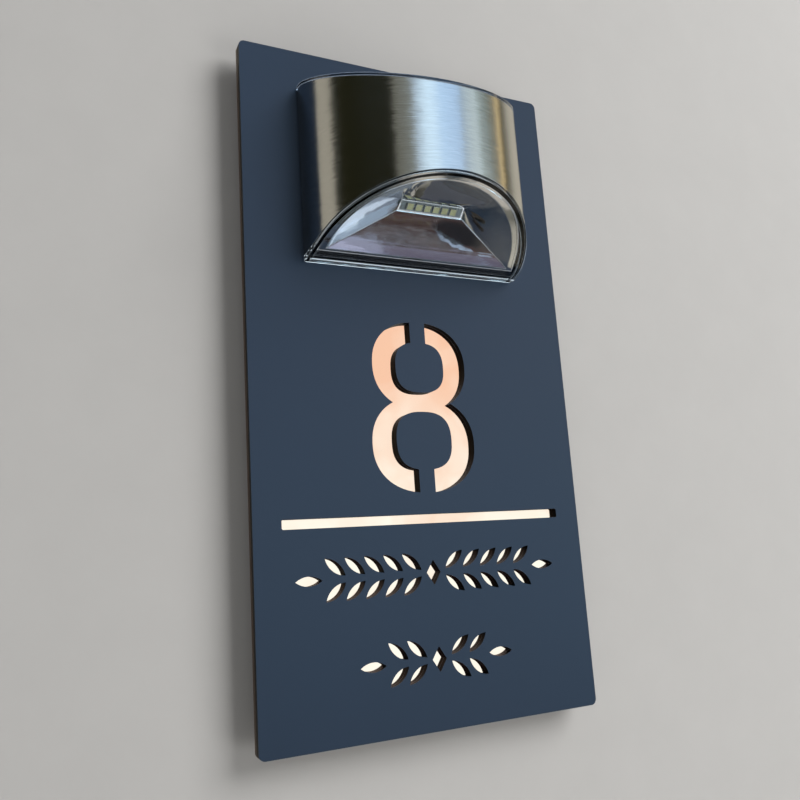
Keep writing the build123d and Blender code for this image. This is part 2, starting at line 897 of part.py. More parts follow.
pieces = [
    face_plate, mirror_backing, rear_spacers, adhesive_pads,
    hanger_screws, hanger_washers, hanger_nuts,
    steel_band, lens_housing, top_cover, panel_gasket, solar_cells, solar_panel, panel_tray,
    back_plate, back_seal, back_screws,
    reflector, led_board, led_packages, led_phosphors,
    control_board, board_chips, board_screws,
    battery_holder, holder_screws, battery_cell, positive_contact, negative_contact,
    panel_leads, battery_leads, led_leads,
    switch_body, switch_slider,
]

os.makedirs("parts", exist_ok=True)
for piece in pieces:
    export_step(piece(), "parts/" + piece.__name__ + ".step")
    print("wrote", piece.__name__)
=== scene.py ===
import bpy
import math
from mathutils import Euler, Matrix, Vector

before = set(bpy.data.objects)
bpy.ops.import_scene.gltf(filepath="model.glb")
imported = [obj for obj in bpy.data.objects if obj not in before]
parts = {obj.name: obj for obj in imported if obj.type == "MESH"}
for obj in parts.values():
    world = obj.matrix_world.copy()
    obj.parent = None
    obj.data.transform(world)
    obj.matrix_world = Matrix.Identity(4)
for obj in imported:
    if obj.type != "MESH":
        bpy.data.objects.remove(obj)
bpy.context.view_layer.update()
print("frame loaded,", len(parts), "parts")


# helpers for shader trees
def addNode(tree, kind, inputs=None, **settings):
    node = tree.nodes.new(kind)
    for key, value in settings.items():
        setattr(node, key, value)
    for key, value in (inputs or {}).items():
        if isinstance(value, bpy.types.NodeSocket):
            tree.links.new(value, node.inputs[key])
        else:
            node.inputs[key].default_value = value
    return node


def addMath(tree, operation, first, second=0.0, clamp=False):
    node = addNode(tree, "ShaderNodeMath", {0: first, 1: second}, operation=operation, use_clamp=clamp)
    return node.outputs[0]


def mixColours(tree, factor, first, second, blend="MIX"):
    node = addNode(tree, "ShaderNodeMix", data_type="RGBA", blend_type=blend)
    for key, value in ((0, factor), (6, first), (7, second)):
        if isinstance(value, bpy.types.NodeSocket):
            tree.links.new(value, node.inputs[key])
        else:
            node.inputs[key].default_value = value if key == 0 else (*value[:3], 1)
    return node.outputs[2]


def mixValues(tree, factor, first, second):
    return addNode(tree, "ShaderNodeMix", {0: factor, 2: first, 3: second}).outputs[0]


def objectPlace(tree):
    return tree.nodes.new("ShaderNodeTexCoord").outputs["Object"]


def trueFacing(tree):
    return addNode(tree, "ShaderNodeSeparateXYZ", {0: tree.nodes.new("ShaderNodeNewGeometry").outputs["True Normal"]})


def bouncedRay(tree):
    ray = tree.nodes.new("ShaderNodeLightPath").outputs
    return addMath(tree, "MAXIMUM", ray["Is Glossy Ray"], ray["Is Transmission Ray"])


def spread(tree, value, low, high, newLow=0.0, newHigh=1.0):
    return addNode(tree, "ShaderNodeMapRange", {0: value, 1: low, 2: high, 3: newLow, 4: newHigh}).outputs[0]


def within(tree, value, middle, half):
    return addMath(tree, "LESS_THAN", addMath(tree, "ABSOLUTE", addMath(tree, "SUBTRACT", value, middle)), half)


def ramp(tree, factor, stops):
    node = addNode(tree, "ShaderNodeValToRGB", {0: factor})
    elements = node.color_ramp.elements
    while len(elements) < len(stops):
        elements.new(1.0)
    for element, (place, colour) in zip(elements, stops):
        element.position = place
        element.color = (*colour, 1)
    return node.outputs[0]


def newGroup(name, inputs, outputs):
    tree = bpy.data.node_groups.new(name, "ShaderNodeTree")
    for label, kind, value in inputs:
        socket = tree.interface.new_socket(label, in_out="INPUT", socket_type="NodeSocket" + kind)
        socket.default_value = value
    for label, kind in outputs:
        tree.interface.new_socket(label, in_out="OUTPUT", socket_type="NodeSocket" + kind)
    return tree, tree.nodes.new("NodeGroupInput").outputs, tree.nodes.new("NodeGroupOutput").inputs


def useGroup(material, group, values):
    node = material.node_tree.nodes.new("ShaderNodeGroup")
    node.node_tree = group
    for label, value in values.items():
        if isinstance(value, bpy.types.NodeSocket):
            material.node_tree.links.new(value, node.inputs[label])
        else:
            node.inputs[label].default_value = value
    return node.outputs


def newMaterial(name, **values):
    material = bpy.data.materials.new(name)
    material.use_nodes = True
    shader = material.node_tree.nodes["Principled BSDF"]
    for key, value in values.items():
        socket = shader.inputs[key.replace("_", " ")]
        socket.default_value = (*value, 1) if isinstance(value, tuple) and len(value) == 3 else value
    return material, material.node_tree, shader


def joinUp(material, shader, outputs, names):
    for name in names:
        socket = {"Colour": "Base Color"}.get(name, name)
        material.node_tree.links.new(outputs[name], shader.inputs[socket])


def dress(name, material):
    slots = parts[name].data.materials
    slots.clear()
    slots.append(material)


def makeSurfaceGrain():
    # fine moulded or sprayed texture with slow changes of shade
    tree, given, result = newGroup("surfaceGrain", [
        ("Colour", "Color", (0.5, 0.5, 0.5, 1)), ("Roughness", "Float", 0.5), ("Grain Size", "Float", 0.0005),
        ("Grain Depth", "Float", 0.1), ("Shade Change", "Float", 0.1), ("Gloss Change", "Float", 0.05),
    ], [("Colour", "Color"), ("Roughness", "Float"), ("Normal", "Vector")])
    place = objectPlace(tree)
    fine = addNode(tree, "ShaderNodeTexNoise", {
        "Vector": place, "Scale": addMath(tree, "DIVIDE", 1.0, given["Grain Size"]), "Detail": 3.0, "Roughness": 0.6})
    slow = addNode(tree, "ShaderNodeTexNoise", {"Vector": place, "Scale": 28.0, "Detail": 5.0, "Roughness": 0.65})
    lift = addMath(tree, "SUBTRACT", slow.outputs[0], 0.5)
    shade = addMath(tree, "ADD", 1.0, addMath(tree, "MULTIPLY", lift, given["Shade Change"]))
    tint = addNode(tree, "ShaderNodeHueSaturation", {"Color": given["Colour"], "Value": shade})
    tree.links.new(tint.outputs[0], result["Colour"])
    rough = addMath(tree, "MULTIPLY", addMath(tree, "SUBTRACT", fine.outputs[0], 0.5), given["Gloss Change"])
    rough = addMath(tree, "ADD", addMath(tree, "ADD", rough, given["Roughness"]),
                    addMath(tree, "MULTIPLY", lift, given["Gloss Change"]))
    tree.links.new(rough, result["Roughness"])
    bump = addNode(tree, "ShaderNodeBump", {
        "Height": fine.outputs[0], "Strength": given["Grain Depth"], "Distance": 0.0002})
    tree.links.new(bump.outputs[0], result["Normal"])
    return tree


def makeBrushLines():
    # fine lines left by a belt, long one way and thin the other
    tree, given, result = newGroup("brushLines", [
        ("Lines Along", "Vector", (60.0, 60.0, 4000.0)), ("Roughness", "Float", 0.3), ("Gloss Change", "Float", 0.1),
        ("Line Depth", "Float", 0.1), ("Colour", "Color", (0.6, 0.6, 0.6, 1)), ("Shade Change", "Float", 0.1),
        ("Sway", "Float", 0.0),
    ], [("Colour", "Color"), ("Roughness", "Float"), ("Normal", "Vector")])
    place = objectPlace(tree)
    stretched = addNode(tree, "ShaderNodeVectorMath", {0: place, 1: given["Lines Along"]}, operation="MULTIPLY")
    lines = addNode(tree, "ShaderNodeTexNoise", {
        "Vector": stretched.outputs[0], "Scale": 1.0, "Detail": 4.0, "Roughness": 0.7})
    lift = addMath(tree, "SUBTRACT", lines.outputs[0], 0.5)
    rough = addMath(tree, "ADD", given["Roughness"], addMath(tree, "MULTIPLY", lift, given["Gloss Change"]))
    tree.links.new(rough, result["Roughness"])
    shade = addMath(tree, "ADD", 1.0, addMath(tree, "MULTIPLY", lift, given["Shade Change"]))
    tint = addNode(tree, "ShaderNodeHueSaturation", {"Color": given["Colour"], "Value": shade})
    tree.links.new(tint.outputs[0], result["Colour"])
    bump = addNode(tree, "ShaderNodeBump", {
        "Height": lines.outputs[0], "Strength": given["Line Depth"], "Distance": 0.0001})
    # each scratch also leans a little along its own length
    along = addNode(tree, "ShaderNodeTangent", direction_type="RADIAL", axis="Z")
    hue = addNode(tree, "ShaderNodeSeparateColor", {0: lines.outputs["Color"]})
    lean = addMath(tree, "MULTIPLY", addMath(tree, "SUBTRACT", hue.outputs[1], 0.5), given["Sway"])
    push = addNode(tree, "ShaderNodeVectorMath", {0: along.outputs[0], "Scale": lean}, operation="SCALE")
    leant = addNode(tree, "ShaderNodeVectorMath", {0: bump.outputs[0], 1: push.outputs[0]}, operation="ADD")
    level = addNode(tree, "ShaderNodeVectorMath", {0: leant.outputs[0]}, operation="NORMALIZE")
    tree.links.new(level.outputs[0], result["Normal"])
    return tree


def makeSheetSides():
    # tells a sheet's front, back and cut edge apart by the way they face
    tree, given, result = newGroup("sheetSides", [], [("Front", "Float"), ("Back", "Float"), ("Edge", "Float")])
    facing = trueFacing(tree)
    front = addMath(tree, "LESS_THAN", facing.outputs[1], -0.9)
    back = addMath(tree, "GREATER_THAN", facing.outputs[1], 0.9)
    tree.links.new(front, result["Front"])
    tree.links.new(back, result["Back"])
    tree.links.new(addMath(tree, "SUBTRACT", addMath(tree, "SUBTRACT", 1.0, front), back), result["Edge"])
    return tree


def makeSoftCorners():
    # rounds sharp corners in the shader, and says where they are
    tree, given, result = newGroup("softCorners", [("Width", "Float", 0.0003), ("Amount", "Float", 1.0)],
                                   [("Mask", "Float"), ("Normal", "Vector")])
    rounded = addNode(tree, "ShaderNodeBevel", {"Radius": given["Width"]}, samples=6)
    plain = tree.nodes.new("ShaderNodeNewGeometry").outputs["Normal"]
    match = addNode(tree, "ShaderNodeVectorMath", {0: rounded.outputs[0], 1: plain}, operation="DOT_PRODUCT")
    mask = spread(tree, match.outputs["Value"], 0.98, 0.8)
    tree.links.new(addMath(tree, "MULTIPLY", mask, given["Amount"], clamp=True), result["Mask"])
    tree.links.new(rounded.outputs[0], result["Normal"])
    return tree


surfaceGrain, brushLines, sheetSides, softCorners = (
    makeSurfaceGrain(), makeBrushLines(), makeSheetSides(), makeSoftCorners())
print("shared effects made")


# the corner colour is a painted highlight on the front corners of the cuts
plateFinish = {"colour": (0.017, 0.029, 0.052), "edgeColour": (0.001, 0.0015, 0.003),
               "paintedGlintColour": (0.30, 0.32, 0.40), "cornerWidth": 0.0006, "across": (0.25, 0.6), "roughness": 0.42,
               "edgeRoughness": 0.5, "shine": 0.33, "grainSize": 0.00035, "grainDepth": 0.05, "shadeChange": 0.12,
               "glossChange": 0.06}


def makePlateFinish():
    material, tree, shader = newMaterial("mattSlateAcrylic", Specular_IOR_Level=plateFinish["shine"])
    sides = useGroup(material, sheetSides, {})
    # the cut's corners get a painted highlight, coloured pale where the cut runs across, and a rounded normal that
    # catches real light
    corners = useGroup(material, softCorners, {"Width": plateFinish["cornerWidth"], "Amount": 1.0})
    facing = trueFacing(tree)
    across = spread(tree, addMath(tree, "ABSOLUTE", facing.outputs[2]), *plateFinish["across"])
    glint = addMath(tree, "MULTIPLY", addMath(tree, "MULTIPLY", corners["Mask"], across), sides["Edge"])
    colour = mixColours(tree, sides["Edge"], plateFinish["colour"], plateFinish["edgeColour"])
    colour = mixColours(tree, glint, colour, plateFinish["paintedGlintColour"])
    rough = mixValues(tree, sides["Edge"], plateFinish["roughness"], plateFinish["edgeRoughness"])
    grain = useGroup(material, surfaceGrain, {
        "Colour": colour, "Roughness": rough, "Grain Size": plateFinish["grainSize"],
        "Grain Depth": plateFinish["grainDepth"], "Shade Change": plateFinish["shadeChange"],
        "Gloss Change": plateFinish["glossChange"]})
    joinUp(material, shader, grain, ("Colour", "Roughness"))
    turned = addNode(tree, "ShaderNodeMix", {0: glint, 4: grain["Normal"], 5: corners["Normal"]}, data_type="VECTOR")
    tree.links.new(turned.outputs[1], shader.inputs["Normal"])
    return material


mirrorFinish = {"colour": (0.955, 0.585, 0.41), "edgeColour": (0.035, 0.02, 0.016), "backColour": (0.08, 0.08, 0.082),
                "roughness": 0.025, "waveSize": 0.03, "waveDepth": 0.02, "edgeRoughness": 0.4, "grainSize": 0.0004,
                "grainDepth": 0.1, "shadeChange": 0.06, "glossChange": 0.1}


def makeMirrorFinish():
    material, tree, shader = newMaterial("roseMirrorAcrylic", Specular_IOR_Level=0.5)
    sides = useGroup(material, sheetSides, {})
    notFront = addMath(tree, "SUBTRACT", 1.0, sides["Front"])
    colour = mixColours(tree, sides["Edge"], mirrorFinish["colour"], mirrorFinish["edgeColour"])
    colour = mixColours(tree, sides["Back"], colour, mirrorFinish["backColour"])
    grain = useGroup(material, surfaceGrain, {
        "Colour": colour, "Roughness": mirrorFinish["edgeRoughness"], "Grain Size": mirrorFinish["grainSize"],
        "Grain Depth": mirrorFinish["grainDepth"], "Shade Change": mirrorFinish["shadeChange"],
        "Gloss Change": mirrorFinish["glossChange"]})
    tree.links.new(grain["Colour"], shader.inputs["Base Color"])
    tree.links.new(sides["Front"], shader.inputs["Metallic"])
    tree.links.new(mixValues(tree, notFront, mirrorFinish["roughness"], grain["Roughness"]), shader.inputs["Roughness"])
    place = objectPlace(tree)
    waves = addNode(tree, "ShaderNodeTexNoise", {"Vector": place, "Scale": 1 / mirrorFinish["waveSize"], "Detail": 1.0})
    bump = addNode(tree, "ShaderNodeBump", {
        "Height": waves.outputs[0], "Strength": mirrorFinish["waveDepth"], "Distance": 0.01})
    tree.links.new(bump.outputs[0], shader.inputs["Normal"])
    return material


dress("face_plate", makePlateFinish())
dress("mirror_backing", makeMirrorFinish())
print("sign sheets dressed")


steelFinish = {"colour": (0.66, 0.655, 0.64), "roughness": 0.19, "lines": (110.0, 110.0, 1700.0),
               "lineDepth": 0.2, "glossChange": 0.1, "shadeChange": 0.4, "sway": 0.11, "stretch": 0.85,
               "insideColour": (0.02, 0.02, 0.021), "middle": (0.0, -0.0175, 0.0)}


def makeSteelFinish():
    material, tree, shader = newMaterial("brushedSteel", Metallic=1.0, Anisotropic=steelFinish["stretch"],
                                         Anisotropic_Rotation=0.25)
    lines = useGroup(material, brushLines, {
        "Lines Along": steelFinish["lines"], "Roughness": steelFinish["roughness"],
        "Gloss Change": steelFinish["glossChange"], "Line Depth": steelFinish["lineDepth"],
        "Colour": (*steelFinish["colour"], 1), "Shade Change": steelFinish["shadeChange"],
        "Sway": steelFinish["sway"]})
    joinUp(material, shader, lines, ("Roughness", "Normal"))
    # the side that faces the middle of the lamp is coloured near black
    place = objectPlace(tree)
    reach = addNode(tree, "ShaderNodeVectorMath", {0: place, 1: steelFinish["middle"]}, operation="SUBTRACT")
    facing = tree.nodes.new("ShaderNodeNewGeometry").outputs["True Normal"]
    turned = addNode(tree, "ShaderNodeVectorMath", {0: reach.outputs[0], 1: facing}, operation="DOT_PRODUCT")
    inside = addMath(tree, "LESS_THAN", turned.outputs["Value"], 0.0)
    tree.links.new(mixColours(tree, inside, lines["Colour"], steelFinish["insideColour"]), shader.inputs["Base Color"])
    around = addNode(tree, "ShaderNodeTangent", direction_type="RADIAL", axis="Z")
    tree.links.new(around.outputs[0], shader.inputs["Tangent"])
    return material


clearFinishes = {
    # lit: the way that the corners with painted glow face, facing: how squarely
    # edges: depth, half depth, height and half height of each edge with painted glow
    "clearLens": {"colour": (0.985, 0.99, 0.99), "roughness": 0.01, "bend": 1.49, "cornerWidth": 0.0005,
                  "paintedGlow": (0.50, 0.58, 0.64), "lit": (0.0, -0.36, -0.93), "facing": (0.85, 0.9), "amount": 0.35,
                  "edges": ((-0.0174, 0.0005, 0.0577, 0.0003), (-0.0154, 0.0005, 0.0554, 0.0003))},
    "clearCover": {"colour": (0.985, 0.99, 0.99), "roughness": 0.02, "bend": 1.49, "cornerWidth": 0.0005,
                   "paintedGlow": (0.42, 0.50, 0.62), "lit": (-1.0, 0.0, 0.0), "facing": (-0.4, 0.7), "amount": 1.0,
                   "edges": ()},
}


def makeClearFinish(name):
    values = clearFinishes[name]
    material, tree, shader = newMaterial(name, Base_Color=values["colour"], Roughness=values["roughness"],
                                         IOR=values["bend"], Transmission_Weight=1.0, Emission_Strength=1.0)
    # lamps shine through it, so its shadow is left out
    shadowRay = tree.nodes.new("ShaderNodeLightPath").outputs["Is Shadow Ray"]
    through = addNode(tree, "ShaderNodeBsdfTransparent", {"Color": (0.93, 0.94, 0.94, 1)})
    mix = addNode(tree, "ShaderNodeMixShader", {0: shadowRay, 1: shader.outputs[0], 2: through.outputs[0]})
    tree.links.new(mix.outputs[0], tree.nodes["Material Output"].inputs["Surface"])
    # painted glow: emission on the corners that face the lit way and on the listed edges, though the clear plastic is
    # no lamp
    corners = useGroup(material, softCorners, {"Width": values["cornerWidth"], "Amount": values["amount"]})
    geometry = tree.nodes.new("ShaderNodeNewGeometry").outputs
    toward = addNode(tree, "ShaderNodeVectorMath", {0: geometry["True Normal"], 1: values["lit"]},
                     operation="DOT_PRODUCT")
    lit = addMath(tree, "MULTIPLY", corners["Mask"], spread(tree, toward.outputs["Value"], *values["facing"]))
    place = objectPlace(tree)
    _, depth, height = addNode(tree, "ShaderNodeSeparateXYZ", {0: place}).outputs
    for middle, half, level, halfLevel in values["edges"]:
        near, flat = within(tree, depth, middle, half), within(tree, height, level, halfLevel)
        lit = addMath(tree, "MAXIMUM", lit, addMath(tree, "MULTIPLY", near, flat))
    tree.links.new(mixColours(tree, lit, (0.0, 0.0, 0.0), values["paintedGlow"]), shader.inputs["Emission Color"])
    flow = addNode(tree, "ShaderNodeTexNoise", {"Vector": place, "Scale": 55.0, "Detail": 2.0})
    bump = addNode(tree, "ShaderNodeBump", {"Height": flow.outputs[0], "Strength": 0.03, "Distance": 0.002})
    tree.links.new(bump.outputs[0], shader.inputs["Normal"])
    return material


# the fold colour is a painted glow along the reflector's folds
reflectorFinish = {"colour": (0.86, 0.87, 0.89), "roughness": 0.03, "waveSize": 0.018, "waveDepth": 0.05,
                   "cornerWidth": 0.0009, "foldPaintedGlow": (0.36, 0.38, 0.40), "foldStrength": 3.0,
                   "sideFacing": (0.14, 0.2), "sideLean": 0.6}


def makeReflectorFinish():
    material, tree, shader = newMaterial("brightMetalCoat", Metallic=1.0, Base_Color=reflectorFinish["colour"],
                                         Emission_Strength=1.0)
    place = objectPlace(tree)
    waves = addNode(tree, "ShaderNodeTexNoise", {
        "Vector": place, "Scale": 1 / reflectorFinish["waveSize"], "Detail": 2.0})
    corners = useGroup(material, softCorners, {"Width": reflectorFinish["cornerWidth"],
                                              "Amount": reflectorFinish["foldStrength"]})
    bump = addNode(tree, "ShaderNodeBump", {"Height": waves.outputs[0], "Strength": reflectorFinish["waveDepth"],
                                            "Distance": 0.002, "Normal": corners["Normal"]})
    paintedFoldGlow = mixColours(tree, corners["Mask"], (0.0, 0.0, 0.0), reflectorFinish["foldPaintedGlow"])  # painted glow at the folds, given off as emission
    tree.links.new(paintedFoldGlow, shader.inputs["Emission Color"])
    # the left side facet is pressed a little hollow, so it looks further out than a flat one
    facing = trueFacing(tree)
    side = spread(tree, facing.outputs[0], *reflectorFinish["sideFacing"])
    push = addNode(tree, "ShaderNodeCombineXYZ", {1: addMath(tree, "MULTIPLY", side, -reflectorFinish["sideLean"])})
    leant = addNode(tree, "ShaderNodeVectorMath", {0: bump.outputs[0], 1: push.outputs[0]}, operation="ADD")
    level = addNode(tree, "ShaderNodeVectorMath", {0: leant.outputs[0]}, operation="NORMALIZE")
    tree.links.new(level.outputs[0], shader.inputs["Normal"])
    rough = reflectorFinish["roughness"]
    tree.links.new(spread(tree, waves.outputs[0], 0.3, 0.7, rough * 0.6, rough * 1.4), shader.inputs["Roughness"])
    return material


dress("steel_band", makeSteelFinish())
dress("lens_housing", makeClearFinish("clearLens"))
dress("top_cover", makeClearFinish("clearCover"))
dress("reflector", makeReflectorFinish())
print("lamp shells dressed")


cellFinish = {"colour": (0.012, 0.018, 0.05), "crystal": (0.03, 0.045, 0.11), "silver": (0.55, 0.56, 0.57),
              "fingerPitch": 0.0016, "fingerWidth": 0.12, "grainSize": 0.006, "roughness": 0.28,
              "fingerRoughness": 0.4, "fingerMetal": 0.8}


def makeCellFinish():
    material, tree, shader = newMaterial("siliconCell", Specular_IOR_Level=0.6, Coat_Weight=0.6, Coat_Roughness=0.08)
    place = objectPlace(tree)
    crystals = addNode(tree, "ShaderNodeTexVoronoi", {"Vector": place, "Scale": 1 / cellFinish["grainSize"]})
    shade = addNode(tree, "ShaderNodeSeparateColor", {0: crystals.outputs["Color"]}).outputs[0]
    colour = mixColours(tree, shade, cellFinish["colour"], cellFinish["crystal"])
    depth = addNode(tree, "ShaderNodeSeparateXYZ", {0: place}).outputs[1]
    step = addMath(tree, "FRACT", addMath(tree, "DIVIDE", depth, cellFinish["fingerPitch"]))
    finger = addMath(tree, "LESS_THAN", step, cellFinish["fingerWidth"])
    tree.links.new(mixColours(tree, finger, colour, cellFinish["silver"]), shader.inputs["Base Color"])
    rough = mixValues(tree, finger, cellFinish["roughness"], cellFinish["fingerRoughness"])
    tree.links.new(rough, shader.inputs["Roughness"])
    tree.links.new(addMath(tree, "MULTIPLY", finger, cellFinish["fingerMetal"]), shader.inputs["Metallic"])
    return material


# plain finishes, each with its own grain
plainFinishes = {
    "blackPlastic": {"colour": (0.012, 0.012, 0.013), "roughness": 0.48, "grain": 0.0005, "depth": 0.25},
    "panelBoard": {"colour": (0.46, 0.47, 0.45), "roughness": 0.45, "grain": 0.0004, "depth": 0.1},
    "sealRubber": {"colour": (0.02, 0.02, 0.021), "roughness": 0.7, "grain": 0.0007, "depth": 0.3},
    "foamPad": {"colour": (0.10, 0.10, 0.105), "roughness": 0.9, "grain": 0.0009, "depth": 0.8},
    "whiteBoard": {"colour": (0.62, 0.70, 0.72), "roughness": 0.4, "grain": 0.0004, "depth": 0.06},
    "ledBody": {"colour": (0.80, 0.82, 0.80), "roughness": 0.4, "grain": 0.0003, "depth": 0.05},
    # the phosphor's glow is painted: a faint emission that brightens it
    "ledPhosphor": {"colour": (0.86, 0.85, 0.50), "roughness": 0.5, "grain": 0.0002, "depth": 0.2,
                    "paintedGlow": (0.10, 0.11, 0.07)},
    "chipBlack": {"colour": (0.02, 0.02, 0.022), "roughness": 0.5, "grain": 0.0003, "depth": 0.2},
    "cellSleeve": {"colour": (0.03, 0.16, 0.09), "roughness": 0.3, "grain": 0.0006, "depth": 0.05},
    "leadJacket": {"colour": (0.32, 0.02, 0.018), "roughness": 0.4, "grain": 0.0004, "depth": 0.1},
    "switchShell": {"colour": (0.03, 0.03, 0.032), "roughness": 0.4, "grain": 0.0004, "depth": 0.15},
    "switchKnob": {"colour": (0.62, 0.62, 0.60), "roughness": 0.4, "grain": 0.0003, "depth": 0.1},
}


def makePlainFinish(name):
    values = plainFinishes[name]
    material, tree, shader = newMaterial(name, Specular_IOR_Level=0.45)
    # painted glow for the finishes that list one
    if "paintedGlow" in values:
        shader.inputs["Emission Color"].default_value = (*values["paintedGlow"], 1)
        shader.inputs["Emission Strength"].default_value = 1.0
    grain = useGroup(material, surfaceGrain, {
        "Colour": (*values["colour"], 1), "Roughness": values["roughness"], "Grain Size": values["grain"],
        "Grain Depth": values["depth"], "Shade Change": 0.25, "Gloss Change": 0.12})
    worn = useGroup(material, softCorners, {"Width": 0.0002, "Amount": 0.25})
    paler = mixColours(tree, worn["Mask"], grain["Colour"], (0.5, 0.5, 0.5))
    tree.links.new(paler, shader.inputs["Base Color"])
    joinUp(material, shader, grain, ("Roughness", "Normal"))
    return material


metalFinishes = {
    "spacerMetal": {"colour": (0.50, 0.50, 0.49), "roughness": 0.32, "lines": (500.0, 4000.0, 500.0), "depth": 0.2},
    "fastenerSteel": {"colour": (0.56, 0.55, 0.52), "roughness": 0.28, "lines": (700.0, 2500.0, 700.0), "depth": 0.15},
    "contactMetal": {"colour": (0.62, 0.60, 0.55), "roughness": 0.25, "lines": (1500.0, 300.0, 1500.0), "depth": 0.1},
}


def makeMetalFinish(name):
    values = metalFinishes[name]
    material, tree, shader = newMaterial(name, Metallic=1.0)
    lines = useGroup(material, brushLines, {
        "Lines Along": values["lines"], "Roughness": values["roughness"], "Gloss Change": 0.15,
        "Line Depth": values["depth"], "Colour": (*values["colour"], 1), "Shade Change": 0.2})
    worn = useGroup(material, softCorners, {"Width": 0.0002, "Amount": 0.6})
    tree.links.new(mixColours(tree, worn["Mask"], lines["Colour"], (0.8, 0.8, 0.78)), shader.inputs["Base Color"])
    joinUp(material, shader, lines, ("Roughness", "Normal"))
    return material


boardFinish = {"mask": (0.008, 0.075, 0.028), "track": (0.015, 0.13, 0.045), "trackScale": 420.0,
               "trackWidth": 0.32, "roughness": 0.3}


def makeBoardFinish():
    # solder mask with copper tracks under it
    material, tree, shader = newMaterial("greenBoard", Specular_IOR_Level=0.5)
    place = objectPlace(tree)
    tracks = addNode(tree, "ShaderNodeTexVoronoi", {"Vector": place, "Scale": boardFinish["trackScale"]},
                     distance="MANHATTAN")
    line = addMath(tree, "LESS_THAN", tracks.outputs["Distance"], boardFinish["trackWidth"])
    colour = mixColours(tree, line, boardFinish["mask"], boardFinish["track"])
    grain = useGroup(material, surfaceGrain, {
        "Colour": colour, "Roughness": boardFinish["roughness"], "Grain Size": 0.0004, "Grain Depth": 0.05,
        "Shade Change": 0.2, "Gloss Change": 0.1})
    joinUp(material, shader, grain, ("Colour", "Roughness", "Normal"))
    return material


finishOf = {
    "panel_gasket": "sealRubber", "solar_panel": "panelBoard", "panel_tray": "blackPlastic",
    "back_plate": "blackPlastic", "back_seal": "sealRubber", "led_board": "whiteBoard", "led_packages": "ledBody",
    "led_phosphors": "ledPhosphor", "board_chips": "chipBlack", "battery_holder": "blackPlastic",
    "battery_cell": "cellSleeve", "panel_leads": "leadJacket", "battery_leads": "leadJacket",
    "led_leads": "leadJacket", "switch_body": "switchShell", "switch_slider": "switchKnob",
    "adhesive_pads": "foamPad", "rear_spacers": "spacerMetal", "hanger_screws": "fastenerSteel",
    "hanger_washers": "fastenerSteel", "hanger_nuts": "fastenerSteel", "back_screws": "fastenerSteel",
    "board_screws": "fastenerSteel", "holder_screws": "fastenerSteel", "positive_contact": "contactMetal",
    "negative_contact": "contactMetal",
}
made = {name: makePlainFinish(name) for name in plainFinishes}
made.update({name: makeMetalFinish(name) for name in metalFinishes})
for name, finish in finishOf.items():
    dress(name, made[finish])
dress("solar_cells", makeCellFinish())
dress("control_board", makeBoardFinish())
print("inner parts dressed")


studio = {"wallColour": (0.50, 0.49, 0.475), "wallGlint": (0.46, 0.43, 0.355), "wallEnd": (0.015, 0.015, 0.006),
          "wallSpan": ((-0.30, -0.46), (0.22, 0.60)), "floorColour": (0.60, 0.585, 0.56), "floorDrop": 1.0, "size": 8.0,
          # where the wall's glint ends: how far on the right, and along a slope of height and reach across
          "wallRight": 0.75, "wallSlope": 1.6, "wallFoot": (0.06, 0.12), "wallUnder": (0.2, 0.26),
          "wallLow": (-0.02, -0.08), "wallShade": (0.12, 0.145, 0.18),
          "nearWall": (0.035, 0.045, 0.05), "pavingStart": (-0.78, -0.86),
          "pavingColours": ((0.068, 0.036, 0.032), (0.048, 0.028, 0.026), (0.11, 0.09, 0.09)), "pavingSize": 7.0,
          # what lies on the paving: middle, half width and depth, turn in degrees, colour
          "patches": [((0.60, -0.015), (0.14, 0.035), 0, (0.42, 0.39, 0.34)),
                      ((0.82, -0.14), (0.10, 0.035), 0, (0.12, 0.07, 0.062)),
                      ((0.72, -0.10), (0.02, 0.05), 0, (0.30, 0.31, 0.33)),
                      ((0.75, -0.94), (0.30, 0.10), 0, (0.13, 0.115, 0.16)),
                      ((0.49, -0.98), (0.12, 0.11), 0, (0.27, 0.28, 0.38)),
                      ((0.90, -1.15), (0.10, 0.050), 0, (0.012, 0.010, 0.013)),
                      ((0.865, -1.085), (0.075, 0.009), 32, (0.30, 0.38, 0.50)),
                      ((1.50, -0.36), (0.42, 0.42), 0, (0.26, 0.31, 0.39)),
                      ((1.37, -0.27), (0.30, 0.06), 66, (0.70, 0.82, 0.97))]}


def makeSheet(name, corners, material):
    mesh = bpy.data.meshes.new(name)
    mesh.from_pydata(corners, [], [tuple(range(len(corners)))])
    sheet = bpy.data.objects.new(name, mesh)
    mesh.materials.append(material)
    bpy.context.scene.collection.objects.link(sheet)
    return sheet


